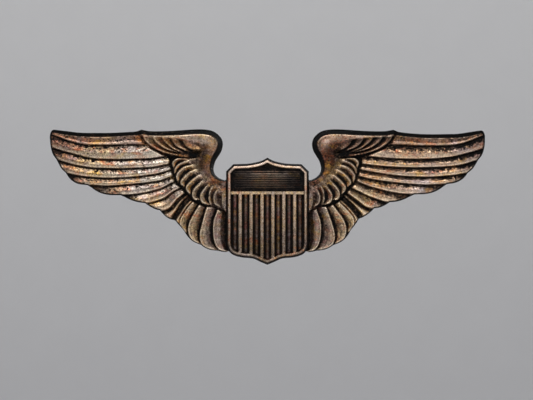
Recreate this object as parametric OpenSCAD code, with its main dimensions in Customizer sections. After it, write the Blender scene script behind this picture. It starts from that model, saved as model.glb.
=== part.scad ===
// Pilot wings badge: a die-struck pair of wings with a shield at the centre and a
// pin fastening on the back. The span runs along X, the badge stands upright along Z
// and its face looks towards -Y. The flat back of the wings lies on the plane y = 0.

/* [Wings] */
// Span from wing tip to wing tip
wing_span = 79.4; // [66:0.1:96]
// Height from the lowest feather to the top of the shoulders
wing_height = 22.4; // [18.6:0.1:27]
// Thickness of the plate at its edge
plate_t = 1.3; // [1:0.05:1.7]
// Height of the long feathers at their roots, from the back
flight_h = 2.3; // [2:0.05:3]
// Height of the short feathers in the middle, from the back
covert_h = 2.6; // [2:0.05:3.4]
// Height of the wing arm along the top, from the back
arm_h = 3.1; // [2.4:0.05:4]
// Share of its strip that each feather fills, the rest being groove
feather_fill = 0.86; // [0.7:0.01:0.94]

/* [Shield] */
// Width across the shield
shield_w = 15.0; // [12.5:0.1:16]
// Height from the point at the top to the point at the bottom
shield_h = 19.45; // [18.5:0.05:23]
// Height of the shield's top point above the middle of the badge
shield_top = 7.1; // [6.8:0.1:10]
// Thickness of the shield from its seat to its rim
shield_t = 2.6; // [2.2:0.05:3.4]
// Width of the raised rim
rim_w = 0.85; // [0.6:0.05:1.2]
// How far the field lies below the rim
field_drop = 0.75; // [0.4:0.05:1.1]
// Height of the band under the chief
band_h = 0.6; // [0.4:0.05:1]
// Number of raised bars in the lower field
bars = 6; // [4:1:8]
// Width of each raised bar
bar_w = 0.55; // [0.4:0.05:0.8]
// Number of fine raised lines in the chief
chief_lines = 9; // [6:1:10]

/* [Pin and hinge] */
// Distance of the hinge and of the catch from the middle
fitting_x = 18.3; // [15.5:0.1:22]
// Height of the pin above the middle of the badge
pin_z = 2.0; // [0.5:0.1:2.2]
// Distance of the pin from the back of the wings
pin_off = 2.35; // [2.3:0.05:3.4]
// Radius of the pin wire
wire_r = 0.475; // [0.4:0.005:0.55]
// Length of the tapered end of the pin
taper = 7; // [6:0.1:10]
// Length of the pin's squared root, from the hinge axis
root_len = 1.5; // [1.3:0.1:3]
// How far the point stands out beyond the catch
point_out = 1.2; // [0.6:0.1:2]
// Radius of the pads soldered to the back
pad_r = 2.7; // [2.3:0.05:3.1]
// Thickness of the pads
pad_t = 0.45; // [0.35:0.05:0.7]
// Thickness of the hinge's folded sheet
sheet_t = 0.45; // [0.35:0.05:0.55]
// Radius of the hinge rivet
rivet_r = 0.35; // [0.3:0.01:0.4]
// Radius of the pin's knuckle
knuckle_r = 0.85; // [0.75:0.01:1]
// Width of the knuckle between the two ears
knuckle_w = 1.1; // [1:0.05:1.6]
// Opening angle of the pin
pin_swing = 100; // [80:1:110]
// Running clearance of the rivet, the knuckle and the rotor
run_gap = 0.05; // [0.03:0.01:0.08]

/* [Catch] */
// Length of the catch housing
catch_len = 3.2; // [2.6:0.1:4]
// Radius of the rotor
rotor_r = 1.06; // [1.02:0.01:1.2]
// Wall of the C-shaped housing
catch_wall = 0.4; // [0.3:0.05:0.5]
// Room around the wire in the rotor's slot
slot_gap = 0.1; // [0.08:0.01:0.14]
// Opening angle of the housing's mouth
mouth = 150; // [148:1:160]
// Thickness of the rotor's end collars
collar_t = 0.25; // [0.2:0.05:0.4]
// How far the thumb lever stands out from the axis
lever_out = 2.7; // [2.3:0.1:3.2]
// Thickness of the thumb lever
lever_t = 0.5; // [0.35:0.05:0.55]

/* [Hidden] */
$fn = 48;

// The curves below are drawn at this span and height, and stretched to the chosen ones.
drawn_span = 79.4;
drawn_height = 22.4;
root_x = 7.5;
kx = (wing_span / 2 - root_x) / (drawn_span / 2 - root_x);
kz = wing_height / drawn_height;
small = 0.01;

// Inner shoulder, leading edge and round wing tip of the right wing
leading = [[7.7, 3.0], [8.5, 3.4], [9.4, 4.1], [9.7, 5.2], [9.4, 6.5], [8.4, 8.3], [8.1, 9.4],
           [8.6, 11.0], [9.6, 11.9], [11.2, 12.3], [14, 12.3], [18, 12.0], [22, 12.0],
           [23, 12.2], [24, 11.8], [30, 11.4], [34, 11.5], [38.3, 12.1], [39.3, 12.0],
           [39.7, 10.8], [39.5, 9.0], [38.9, 7.6], [38.1, 6.8]];

// Scalloped feather tips along the trailing edge, from the outer one to the shield
tips = [
    [[38.1, 6.8], [37.5, 5.6], [36.9, 4.8], [36.4, 4.4]],
    [[36.4, 4.4], [35.6, 3.2], [34.2, 2.5], [32.7, 2.3]],
    [[32.7, 2.3], [31.2, 1.2], [29, 0.5], [26.8, 0.4]],
    [[26.8, 0.4], [25.2, -0.4], [23.6, -0.9], [22.3, -1.0]],
    [[22.3, -1.0], [21.2, -1.7], [20.4, -2.0], [19.5, -2.1]],
    [[19.5, -2.1], [18.7, -3.0], [17.6, -3.7], [16.6, -4.0]],
    [[16.6, -4.0], [15.6, -5.6], [14.4, -7.2], [12, -8.8]],
    [[12, -8.8], [10.8, -9.5], [9.8, -9.8], [8.8, -9.9]],
    [[8.8, -9.9], [8.2, -10], [7.6, -10.1]]
];

// Grooves between the long feathers, each from its root to the trailing edge
grooves = [
    [[22.8, 11.6], [28, 11.1], [32, 11.1], [36, 11.5], [39.2, 11.9]],
    [[22.4, 9.4], [28, 9.2], [32, 9.2], [36, 9.9], [39.6, 10.8]],
    [[17, 7.4], [22, 6.9], [28, 6.7], [34, 7.4], [39.5, 9.0]],
    [[17, 5.9], [22, 5.3], [27, 5.2], [33, 5.5], [38.1, 6.8]],
    [[17, 4.9], [20, 4.2], [25, 3.6], [31, 3.6], [36.4, 4.4]],
    [[16.4, 3.6], [20, 2.9], [24, 2.4], [28, 2.1], [32.7, 2.3]],
    [[15.8, 2.8], [18, 1.9], [20, 1.3], [23, 0.6], [26.8, 0.4]],
    [[15, 1.5], [16.2, 1.0], [18, 0.1], [20, -0.6], [22.3, -1.0]],
    [[14.3, 0.7], [15.3, -0.1], [16.3, -0.8], [17.6, -1.7], [19.5, -2.1]],
    [[13.4, 0.1], [14.6, -1.1], [15.6, -2.2], [16.4, -3.2], [16.6, -4.0]]
];

// Lower edges of the broad feathers beside the shield, outer one first
broad = [
    [[13.3, 0], [14.5, -1.6], [15.5, -3.2], [15.7, -4.6], [15.0, -5.9]],
    [[12.3, -1.2], [13.4, -3.0], [14.2, -4.6], [14.3, -6.2], [12.6, -8.3]],
    [[10.5, -1.9], [11.4, -4.0], [12.0, -6.2], [11.9, -8.2], [9.4, -9.5]],
    [[8.7, -2.2], [9.5, -4.0], [9.7, -6.0], [9.4, -8.4], [7.9, -9.8]],
    [[7.6, -2.4], [7.7, -4.0], [7.7, -6.0], [7.7, -8.0], [7.6, -9.4]]
];

// Edges of the short curled feathers in the middle of the wing, outer one first
curls = [
    [[13.4, 7.4], [14.6, 7.5], [15.8, 7.3], [16.5, 6.6], [16.5, 5.6]],
    [[12.4, 6.4], [14, 6.5], [15.3, 6.0], [16.1, 5.1], [16.2, 4.2]],
    [[12, 5.5], [13.8, 5.5], [15.0, 5.0], [15.7, 4.2], [15.7, 2.9]],
    [[11.4, 4.6], [13.0, 4.6], [14.2, 4.0], [15.0, 3.0], [14.8, 1.9]],
    [[10.8, 3.6], [12.2, 3.6], [13.3, 2.9], [14.1, 1.9], [13.9, 0.7]],
    [[10.2, 2.8], [11.5, 2.6], [12.4, 1.9], [13.1, 0.9], [12.8, -0.5]],
    [[9.5, 2.2], [10.7, 1.8], [11.4, 1.0], [11.8, 0], [11.2, -1.3]],
    [[8.6, 1.8], [9.7, 1.4], [10.2, 0.6], [10.4, -0.4], [9.8, -1.5]],
    [[7.8, 1.4], [8.7, 1.2], [9.3, 0.6], [9.5, -0.5], [8.8, -1.9]],
    [[7.6, 0.8], [7.8, 0.5], [8.1, 0], [8.2, -0.8], [7.8, -2.3]]
];

// Edges of the small feathers that cover the wrist, outer one first
wrist = [
    [[19, 10.9], [21, 10.9], [22.4, 10.9], [22.6, 10.4], [21.6, 9.5]],
    [[17, 10.4], [19, 10.2], [20, 9.6], [19.6, 8.9], [18, 8.0]],
    [[15.4, 10.0], [16.8, 9.8], [17.6, 9.2], [17.2, 8.5], [15.6, 7.8]],
    [[13.8, 9.6], [15, 9.4], [15.6, 8.9], [15.2, 8.2], [13.6, 7.6]]
];

// Smooth raised arm: round the shoulder and out along the leading edge
arm = [[9.0, 2.8], [9.9, 3.7], [10.5, 5.2], [10.2, 6.7], [9.3, 8.4], [9.2, 9.6], [10.1, 10.4],
       [12, 11.0], [16, 11.1], [22, 11.3], [18, 10.2], [15, 9.8], [13.2, 9.0], [12.2, 7.4],
       [11.6, 5.2], [10.6, 3.4]];

// Half of the shield's outline, from the top point round to the bottom point
drawn_shield = [[0, 7.1], [0.8, 6.65], [1.8, 6.3], [3.6, 6.0], [6.2, 5.9], [7.5, 4.6],
                [7.5, -8.5], [7.2, -9.6], [6.3, -10.5], [4.7, -11.0], [2.7, -11.2],
                [1.3, -11.8], [0, -12.35]];
drawn_w = 15.0;
drawn_h = 19.45;
drawn_top = 7.1;

// Stretch a drawn point to the chosen span and height
function at(p) = [root_x + (p[0] - root_x) * kx, p[1] * kz];
function mix(a, b, t) = a + (b - a) * t;

// Catmull-Rom spline through the points p, with n steps to each stretch
function spline_point(a, b, c, d, t) =
    0.5 * (2 * b + (c - a) * t + (2 * a - 5 * b + 4 * c - d) * t * t
           + (3 * b - a - 3 * c + d) * t * t * t);
function spline(p, n) = [
    for (i = [0 : len(p) - 2], k = [0 : n - 1])
        spline_point(p[max(i - 1, 0)], p[i], p[i + 1], p[min(i + 2, len(p) - 1)], k / n),
    p[len(p) - 1]
];
function flipped(p) = [for (i = [len(p) - 1 : -1 : 0]) [-p[i][0], p[i][1]]];
function reversed(p) = [for (i = [len(p) - 1 : -1 : 0]) p[i]];

// Share of the full width at s along a feather: parallel, then a round tip
function tip_width(s) = s < 0.8 ? 1 : sqrt(max(0, 1 - pow((s - 0.8) / 0.19, 2)));

// A feather fills the strip between two edges and ends in a round tip
function feather(upper, lower, n) =
    let (u = spline(upper, n), l = spline(lower, n), m = len(u) - 1,
         half = [for (i = [0 : m - 1]) feather_fill * tip_width(i / m) / 2])
    concat(
        [for (i = [0 : m - 1]) at(mix(u[i], l[i], 0.5 - half[i]))],
        [for (i = [m - 1 : -1 : 0]) at(mix(u[i], l[i], 0.5 + half[i]))]
    );

// The shield's outline, drawn in from its edge by inset
function shield_half(inset) = [
    for (p = drawn_shield)
        let (z = shield_top + (p[1] - drawn_top) * shield_h / drawn_h,
             mid = shield_top - shield_h / 2)
        [p[0] * (shield_w - 2 * inset) / drawn_w,
         mid + (z - mid) * (shield_h - 2 * inset) / shield_h]
];
function shield_outline(inset) =
    let (h = shield_half(inset), m = len(h) - 1)
    concat(h, [for (i = [m - 1 : -1 : 1]) [-h[i][0], h[i][1]]]);

// Parts that follow from the sizes above
seat = plate_t;
shield_front = seat + shield_t;
field = shield_front - field_drop;
band_z = shield_top - shield_h * 0.33;
field_w = shield_w - 2 * rim_w;
bar_pitch = field_w / (bars + 1);
line_pitch = (shield_top - shield_h * 0.12 - band_z) / (chief_lines + 1);
bracket_y = pad_t + sheet_t;
ear_gap = knuckle_w + 2 * run_gap;
ear_r = knuckle_r + 0.15;
head_r = rivet_r * 1.7;
head_t = 0.2;
heel = pin_off - bracket_y - run_gap;
rotor_len = catch_len + 2 * run_gap;
housing_r = rotor_r + run_gap;
housing_out = housing_r + catch_wall;
slot_r = wire_r + slot_gap;
lever_angle = mouth / 2 - asin(lever_t / 2 / housing_r) - 1.5;
point_x = fitting_x + rotor_len / 2 + collar_t + point_out;
taper_x = point_x - taper;
lever_len = catch_len * 0.5;

// Extrude a flat shape towards the face, between two heights above the back
module relief(from, to) {
    translate([0, -from, 0]) rotate([90, 0, 0]) linear_extrude(to - from) children();
}

// Extrude a flat shape along the pin's direction, centred
module along_x(length) {
    rotate([90, 0, 90]) translate([0, 0, -length / 2]) linear_extrude(length) children();
}

module both_sides() {
    children();
    mirror([1, 0, 0]) children();
}

// Rows of feathers between neighbouring edges, stepping down from first to last height
module feather_row(edges, first_h, last_h, n) {
    steps = len(edges) - 2;
    for (i = [0 : steps])
        relief(small, mix(first_h, last_h, i / max(steps, 1)) + (i % 2) * 0.04)
            polygon(feather(edges[i], edges[i + 1], n));
}

module plate() {
    right = concat(
        [[6.2, 4.4]], [for (p = spline(leading, 2)) at(p)],
        [for (t = tips) for (i = [1 : 3 * (len(t) - 1)]) at(spline(t, 3)[i])],
        [[5.8, -9.4 * kz]]
    );
    relief(0, plate_t) polygon(concat(right, flipped(right)));
}

module wings() {
    color([0.72, 0.60, 0.48]) difference() {
        union() {
            plate();
            both_sides() {
                feather_row(grooves, plate_t + 0.45, flight_h, 2);
                feather_row(broad, flight_h - 0.1, flight_h + 0.1, 2);
                feather_row(curls, covert_h, covert_h - 0.3, 2);
                feather_row(wrist, covert_h + 0.1, covert_h + 0.3, 2);
                relief(small, arm_h) polygon([for (p = spline(arm, 2)) at(p)]);
            }
        }
        relief(seat, arm_h + 2) polygon(shield_outline(-run_gap));
    }
}

module shield() {
    color([0.42, 0.33, 0.25]) {
        relief(seat, field) polygon(shield_outline(0));
        difference() {
            relief(field - small, shield_front) polygon(shield_outline(0));
            relief(field - 1, shield_front + 1) polygon(shield_outline(rim_w));
        }
        intersection() {
            relief(field - small, shield_front + 1) polygon(shield_outline(rim_w - 0.1));
            union() {
                translate([-shield_w, -shield_front + 0.1, band_z - band_h / 2])
                    cube([2 * shield_w, field_drop, band_h]);
                for (i = [1 : bars])
                    translate([-field_w / 2 + i * bar_pitch - bar_w / 2,
                               -shield_front + 0.15, band_z - shield_h])
                        cube([bar_w, field_drop, shield_h]);
                for (i = [1 : chief_lines])
                    translate([-shield_w, -field - 0.25, band_z + i * line_pitch])
                        cube([2 * shield_w, 0.4, line_pitch * 0.45]);
            }
        }
    }
}

module pad(x) {
    color([0.62, 0.60, 0.57])
        translate([x, 0, pin_z]) rotate([-90, 0, 0]) cylinder(r = pad_r, h = pad_t);
}

module hinge_pad() {
    pad(-fitting_x);
}

module catch_pad() {
    pad(fitting_x);
}

// Folded sheet with two ears that carry the rivet
module hinge_bracket() {
    color([0.70, 0.69, 0.66]) translate([-fitting_x, 0, pin_z]) difference() {
        union() {
            translate([-1.7, pad_t, -ear_gap / 2 - sheet_t])
                cube([3.4, sheet_t, ear_gap + 2 * sheet_t]);
            for (z = [-ear_gap / 2 - sheet_t, ear_gap / 2]) {
                translate([-ear_r, bracket_y - small, z])
                    cube([2 * ear_r, pin_off - bracket_y + small, sheet_t]);
                translate([0, pin_off, z]) cylinder(r = ear_r, h = sheet_t);
            }
        }
        translate([0, pin_off, -5]) cylinder(r = rivet_r, h = 10);
    }
}

module hinge_rivet() {
    half = ear_gap / 2 + sheet_t;
    color([0.66, 0.65, 0.62]) translate([-fitting_x, pin_off, pin_z]) {
        translate([0, 0, -half - small]) cylinder(r = rivet_r, h = 2 * (half + small));
        translate([0, 0, half]) cylinder(r = head_r, h = head_t);
        translate([0, 0, -half - head_t]) cylinder(r = head_r, h = head_t);
    }
}

// Wire with a drilled knuckle on a squared root, a heel that stops it when open, and a
// long fine point
module pin_stem() {
    color([0.74, 0.73, 0.70]) translate([0, pin_off, pin_z]) difference() {
        union() {
            translate([-fitting_x, 0, -knuckle_w / 2]) cylinder(r = knuckle_r, h = knuckle_w);
            translate([-fitting_x, 0, -knuckle_w / 2]) rotate([0, 0, 270 - pin_swing])
                translate([0, -0.3, 0]) cube([heel, 0.6, knuckle_w]);
            translate([-fitting_x, 0, 0]) rotate([0, 90, 0])
                cylinder(r = wire_r, h = taper_x + fitting_x);
            translate([-fitting_x, -wire_r - 0.03, -knuckle_w / 2])
                cube([root_len, 2 * wire_r + 0.06, knuckle_w]);
            translate([taper_x, 0, 0]) rotate([0, 90, 0])
                cylinder(r1 = wire_r, r2 = 0.1, h = taper);
        }
        translate([-fitting_x, 0, -5]) cylinder(r = rivet_r + run_gap, h = 10);
    }
}

// C-shaped housing on a foot, open away from the badge
module catch_body() {
    reach = 2 * housing_out;
    color([0.70, 0.69, 0.66]) translate([fitting_x, pin_off, pin_z]) difference() {
        union() {
            rotate([0, 90, 0]) cylinder(r = housing_out, h = catch_len, center = true);
            translate([-catch_len / 2, pad_t - pin_off, -1.1])
                cube([catch_len, pin_off - pad_t - housing_r, 2.2]);
        }
        rotate([0, 90, 0]) cylinder(r = housing_r, h = catch_len + 1, center = true);
        along_x(catch_len + 1) polygon([
            [0, 0],
            reach * [cos(mouth / 2), -sin(mouth / 2)],
            reach * [1.2, -sin(mouth / 2)],
            reach * [1.2, sin(mouth / 2)],
            reach * [cos(mouth / 2), sin(mouth / 2)]
        ]);
    }
}

// Slotted sleeve that turns in the housing, with a collar at each end and a thumb lever
module catch_rotor() {
    color([0.76, 0.75, 0.72]) translate([fitting_x, pin_off, pin_z]) difference() {
        union() {
            rotate([0, 90, 0])
                cylinder(r = rotor_r, h = rotor_len + 2 * collar_t, center = true);
            for (side = [-1, 1])
                translate([side * (rotor_len + collar_t) / 2, 0, 0]) rotate([0, 90, 0])
                    cylinder(r = rotor_r + 0.24, h = collar_t, center = true);
            rotate([-lever_angle, 0, 0]) {
                translate([-lever_len / 2, slot_r + 0.2, -lever_t / 2])
                    cube([lever_len, lever_out - slot_r - 0.2, lever_t]);
                translate([0, lever_out, 0]) rotate([0, 90, 0])
                    cylinder(r = lever_t * 0.7, h = lever_len, center = true);
            }
        }
        rotate([0, 90, 0]) cylinder(r = slot_r, h = rotor_len + 2, center = true);
        translate([-rotor_len, 0, -slot_r]) cube([2 * rotor_len, 3, 2 * slot_r]);
    }
}

wings();
shield();
hinge_pad();
hinge_bracket();
hinge_rivet();
pin_stem();
catch_pad();
catch_body();
catch_rotor();
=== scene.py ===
import math
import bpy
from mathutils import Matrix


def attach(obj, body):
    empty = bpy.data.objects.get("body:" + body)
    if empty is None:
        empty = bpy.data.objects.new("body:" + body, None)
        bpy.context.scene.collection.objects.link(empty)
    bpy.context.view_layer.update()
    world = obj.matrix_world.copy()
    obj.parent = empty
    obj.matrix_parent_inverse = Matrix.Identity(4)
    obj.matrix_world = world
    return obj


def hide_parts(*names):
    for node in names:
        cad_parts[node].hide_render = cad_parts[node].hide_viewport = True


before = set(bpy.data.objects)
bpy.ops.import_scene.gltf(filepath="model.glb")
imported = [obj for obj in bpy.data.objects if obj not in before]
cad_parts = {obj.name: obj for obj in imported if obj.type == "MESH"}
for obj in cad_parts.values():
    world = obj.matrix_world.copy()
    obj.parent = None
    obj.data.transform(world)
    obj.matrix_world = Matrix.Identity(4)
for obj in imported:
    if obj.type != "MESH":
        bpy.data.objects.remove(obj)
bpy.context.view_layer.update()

from types import SimpleNamespace

import bpy
import numpy as np
from mathutils import Vector, geometry

mm = 0.001


# curves and distances, all in millimetres on the face: x along the span, z up

def spline(points, steps=6):
    p = np.array(points, float)
    ends = np.vstack([p[0] * 2 - p[1], p, p[-1] * 2 - p[-2]])
    out = []
    for i in range(len(p) - 1):
        a, b, c, d = ends[i:i + 4]
        for t in np.arange(steps) / steps:
            out.append(0.5 * (2 * b + (c - a) * t + (2 * a - 5 * b + 4 * c - d) * t**2
                              + (3 * b - a - 3 * c + d) * t**3))
    out.append(p[-1])
    return np.array(out)


def near(points, line):
    # distance to a line, share of the way along it, and which side of it each point is on
    best = np.full(len(points), 1e9)
    along = np.zeros(len(points))
    side = np.ones(len(points))
    lengths = np.hypot(*(line[1:] - line[:-1]).T)
    total = lengths.sum()
    done = 0.0
    for a, b, size in zip(line[:-1], line[1:], lengths):
        if size < 1e-9:
            continue
        ab = b - a
        ap = points - a
        t = np.clip(ap @ ab / (size * size), 0, 1)
        gap = ap - t[:, None] * ab
        dist = np.hypot(gap[:, 0], gap[:, 1])
        closer = dist < best
        best[closer] = dist[closer]
        along[closer] = ((done + t * size) / total)[closer]
        cross = ab[0] * ap[:, 1] - ab[1] * ap[:, 0]
        side[closer] = np.where(cross[closer] >= 0, 1.0, -1.0)
        done += size
    return best, along, side


def inside(points, loop):
    x, z = points.T
    odd = np.zeros(len(points), bool)
    for a, b in zip(loop, np.roll(loop, -1, axis=0)):
        crosses = (a[1] > z) != (b[1] > z)
        if not crosses.any():
            continue
        at = (b[0] - a[0]) * (z - a[1]) / (b[1] - a[1] + 1e-12) + a[0]
        odd ^= crosses & (x < at)
    return odd


def signedDistance(points, loop):
    closed = np.vstack([loop, loop[:1]])
    d = near(points, closed)[0]
    return np.where(inside(points, loop), d, -d)


def areaDistance(points, area):
    return signedDistance(points, spline(area + area[:1], 4)[:-1])


def closeTo(points, line, margin):
    # the points inside the line's bounding box, widened by a margin
    low, high = line.min(0) - margin, line.max(0) + margin
    return np.where(((points > low) & (points < high)).all(1))[0]


def ease(x):
    x = np.clip(x, 0, 1)
    return x * x * (3 - 2 * x)


def bell(x, middle, width):
    return np.exp(-((x - middle) / width) ** 2)


def curve(x, pairs):
    return np.interp(x, *np.transpose(pairs))


def wall(d, width):
    # steep at the foot, round at the top
    return 1 - (1 - np.clip(d / width, 0, 1)) ** 2


def blurred(grid, steps, sigma):
    # separable Gaussian over the grid, sigma in millimetres
    for axis in (0, 1):
        size = max(1, int(3 * sigma / steps[axis]))
        kernel = np.exp(-0.5 * (np.arange(-size, size + 1) * steps[axis] / sigma) ** 2)
        kernel /= kernel.sum()
        pad = [(0, 0), (0, 0)]
        pad[axis] = (size, size)
        wide = np.pad(grid, pad, mode="edge")
        grid = np.apply_along_axis(lambda r: np.convolve(r, kernel, "valid"), axis, wide)
    return grid


# a struck relief as one closed mesh: fine front, walls, coarse back

def cellMesh(xs, zs, distance):
    # cuts a grid of cells along the line where distance is zero
    nx, nz = len(xs), len(zs)
    gx, gz = np.meshgrid(xs, zs, indexing="ij")
    cell = min(np.diff(xs).min(), np.diff(zs).min())
    dist = distance(np.column_stack([gx.ravel(), gz.ravel()])).reshape(nx, nz)
    dx = np.gradient(dist, xs, axis=0)
    dz = np.gradient(dist, zs, axis=1)
    size = np.maximum(np.hypot(dx, dz), 0.5)
    snap = (np.abs(dist) < 0.32 * cell) & (gx > xs[0] + 1e-6)
    gx = np.where(snap, gx - dist * dx / size**2, gx)
    gz = np.where(snap, gz - dist * dz / size**2, gz)
    dist = np.where(snap, 0.0, dist)
    ids = np.arange(nx * nz).reshape(nx, nz)
    corners = np.stack([ids[:-1, :-1], ids[1:, :-1], ids[1:, 1:], ids[:-1, 1:]], -1).reshape(-1, 4)
    flat = dist.ravel()
    values = flat[corners]
    whole = (values >= 0).all(1) & (values.max(1) > 0)
    cut = ~whole & (values.max(1) > 0)
    points = [tuple(p) for p in np.column_stack([gx.ravel(), gz.ravel()])]
    faces = [tuple(f) for f in corners[whole]]
    crossing = {}
    for f in corners[cut]:
        loop = []
        for a, b in zip(f, np.roll(f, -1)):
            if flat[a] >= 0:
                loop.append(int(a))
            if (flat[a] > 0 and flat[b] < 0) or (flat[a] < 0 and flat[b] > 0):
                key = (min(a, b), max(a, b))
                if key not in crossing:
                    t = flat[a] / (flat[a] - flat[b])
                    pa, pb = np.array(points[a]), np.array(points[b])
                    crossing[key] = len(points)
                    points.append(tuple(pa + t * (pb - pa)))
                loop.append(crossing[key])
        if len(loop) >= 3:
            faces.append(tuple(loop))
    used = np.unique([i for f in faces for i in f])
    new = np.full(len(points), -1)
    new[used] = np.arange(len(used))
    return np.array(points)[used], [tuple(int(new[i]) for i in f) for f in faces]


def mirrored(points, faces):
    # both halves from the right one, joined along x = 0, and a function that doubles its values
    middle = np.abs(points[:, 0]) < 1e-6
    other = np.full(len(points), -1)
    other[~middle] = len(points) + np.arange((~middle).sum())
    other[middle] = np.where(middle)[0]
    both = np.vstack([points, points[~middle] * [-1, 1]])

    def twice(right, left=None):
        return np.concatenate([right, (right if left is None else left)[~middle]])

    return both, faces + [tuple(int(other[i]) for i in reversed(f)) for f in faces], twice


def rims(faces):
    # closed loops of the edges that only one face has
    edges = set()
    for f in faces:
        for a, b in zip(f, f[1:] + f[:1]):
            if (b, a) in edges:
                edges.discard((b, a))
            else:
                edges.add((a, b))
    onward = {}
    for a, b in edges:
        onward.setdefault(a, []).append(b)
    loops = []
    while onward:
        start = next(iter(onward))
        loop, at = [], start
        while True:
            loop.append(at)
            step = onward[at].pop()
            if not onward[at]:
                del onward[at]
            at = step
            if at == start:
                break
        loops.append(loop)
    return loops


def struckPiece(name, points, faces, height, backHeight, backStep, backRelief):
    # height is each point's height above the plane of the back; faces are seen from -y, with
    # x to the right and z up; the feet of the walls are returned too
    front = np.column_stack([points[:, 0], -height, points[:, 1]])
    verts = [front]
    feet = []
    allFaces = [tuple(f) for f in faces]
    count = len(front)
    for loop in rims(faces):
        # a wall from each rim down to the back
        ring = points[loop]
        back = np.column_stack([ring[:, 0], np.full(len(ring), -backHeight), ring[:, 1]])
        verts.append(back)
        low = [count + i for i in range(len(loop))]
        feet += low
        count += len(loop)
        for i in range(len(loop)):
            j = (i + 1) % len(loop)
            allFaces.append((loop[j], loop[i], low[i], low[j]))
        # the back, triangulated over a coarse grid
        lo, hi = ring.min(0), ring.max(0)
        gx, gz = np.meshgrid(np.arange(lo[0] + backStep / 2, hi[0], backStep),
                             np.arange(lo[1] + backStep / 2, hi[1], backStep))
        grid = np.column_stack([gx.ravel(), gz.ravel()])
        grid = grid[signedDistance(grid, ring[::3]) > 0.6 * backStep]
        coords = [Vector(p) for p in ring] + [Vector(p) for p in grid]
        border = [(i, (i + 1) % len(ring)) for i in range(len(ring))]
        flat, _, tris, origin, *_ = geometry.delaunay_2d_cdt(coords, border, [], 1, 1e-7)
        place = {}
        extra = []
        for i, (p, came) in enumerate(zip(flat, origin)):
            rim = [c for c in came if c < len(ring)]
            if rim:
                place[i] = low[rim[0]]
            else:
                place[i] = count + len(extra)
                extra.append((p.x, p.y))
        if extra:
            extra = np.array(extra)
            y = -(backHeight + backRelief(extra))
            verts.append(np.column_stack([extra[:, 0], y, extra[:, 1]]))
            count += len(extra)
        for t in tris:
            if len(set(t)) == 3:
                allFaces.append(tuple(place[i] for i in reversed(t)))
    mesh = bpy.data.meshes.new(name)
    mesh.from_pydata((np.vstack(verts) * mm).tolist(), [], allFaces)
    mesh.validate()
    mesh.update()
    piece = bpy.data.objects.new(name, mesh)
    bpy.context.scene.collection.objects.link(piece)
    return piece, feet


def addAttribute(piece, name, values, feet=(), atFeet=0):
    # values for the front's points; the foot of the wall may have its own
    attribute = piece.data.attributes.new(name, "FLOAT", "POINT")
    full = np.zeros(len(piece.data.vertices), np.float32)
    full[:len(values)] = values
    full[list(feet)] = atFeet
    attribute.data.foreach_set("value", full)


def addTint(piece, name, colours):
    attribute = piece.data.attributes.new(name, "FLOAT_COLOR", "POINT")
    full = np.ones((len(piece.data.vertices), 4), np.float32) * 0.3
    full[:len(colours), :3] = colours
    full[:, 3] = 1
    attribute.data.foreach_set("color", full.ravel())


# shader writing: a socket that takes part in sums

class Value:
    def __init__(self, tree, socket):
        self.tree, self.socket = tree, socket

    def maths(self, operation, *items):
        node = self.tree.nodes.new("ShaderNodeMath")
        node.operation = operation
        for slot, item in zip(node.inputs, items or (self,)):
            if isinstance(item, Value):
                self.tree.links.new(item.socket, slot)
            else:
                slot.default_value = item
        return Value(self.tree, node.outputs[0])

    def __add__(self, other):
        return self.maths("ADD", self, other)

    def __radd__(self, other):
        return self + other

    def __sub__(self, other):
        return self.maths("SUBTRACT", self, other)

    def __rsub__(self, other):
        return self.maths("SUBTRACT", other, self)

    def __mul__(self, other):
        return self.maths("MULTIPLY", self, other)

    def __rmul__(self, other):
        return self * other

    def __pow__(self, other):
        return self.maths("POWER", self, other)

    def between(self, low, high):
        # 0 below low, 1 above high, eased in between
        node = self.tree.nodes.new("ShaderNodeMapRange")
        node.interpolation_type = "SMOOTHSTEP"
        node.inputs["From Min"].default_value = low
        node.inputs["From Max"].default_value = high
        self.tree.links.new(self.socket, node.inputs["Value"])
        return Value(self.tree, node.outputs[0])

    def clip(self):
        node = self.tree.nodes.new("ShaderNodeClamp")
        self.tree.links.new(self.socket, node.inputs[0])
        return Value(self.tree, node.outputs[0])

    def sharpened(self, gain, start):
        return (self * gain - start).clip()


def tone(r, g, b):
    # a colour given as it looks on a screen, 0 to 255
    return tuple((c / 255 / 12.92) if c < 11 else ((c / 255 + 0.055) / 1.055) ** 2.4 for c in (r, g, b))


def mixed(pair, t):
    # from one colour to another, by t
    a, b = (np.array(tone(*c)) for c in pair)
    return a * (1 - t)[:, None] + b * t[:, None]


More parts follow.
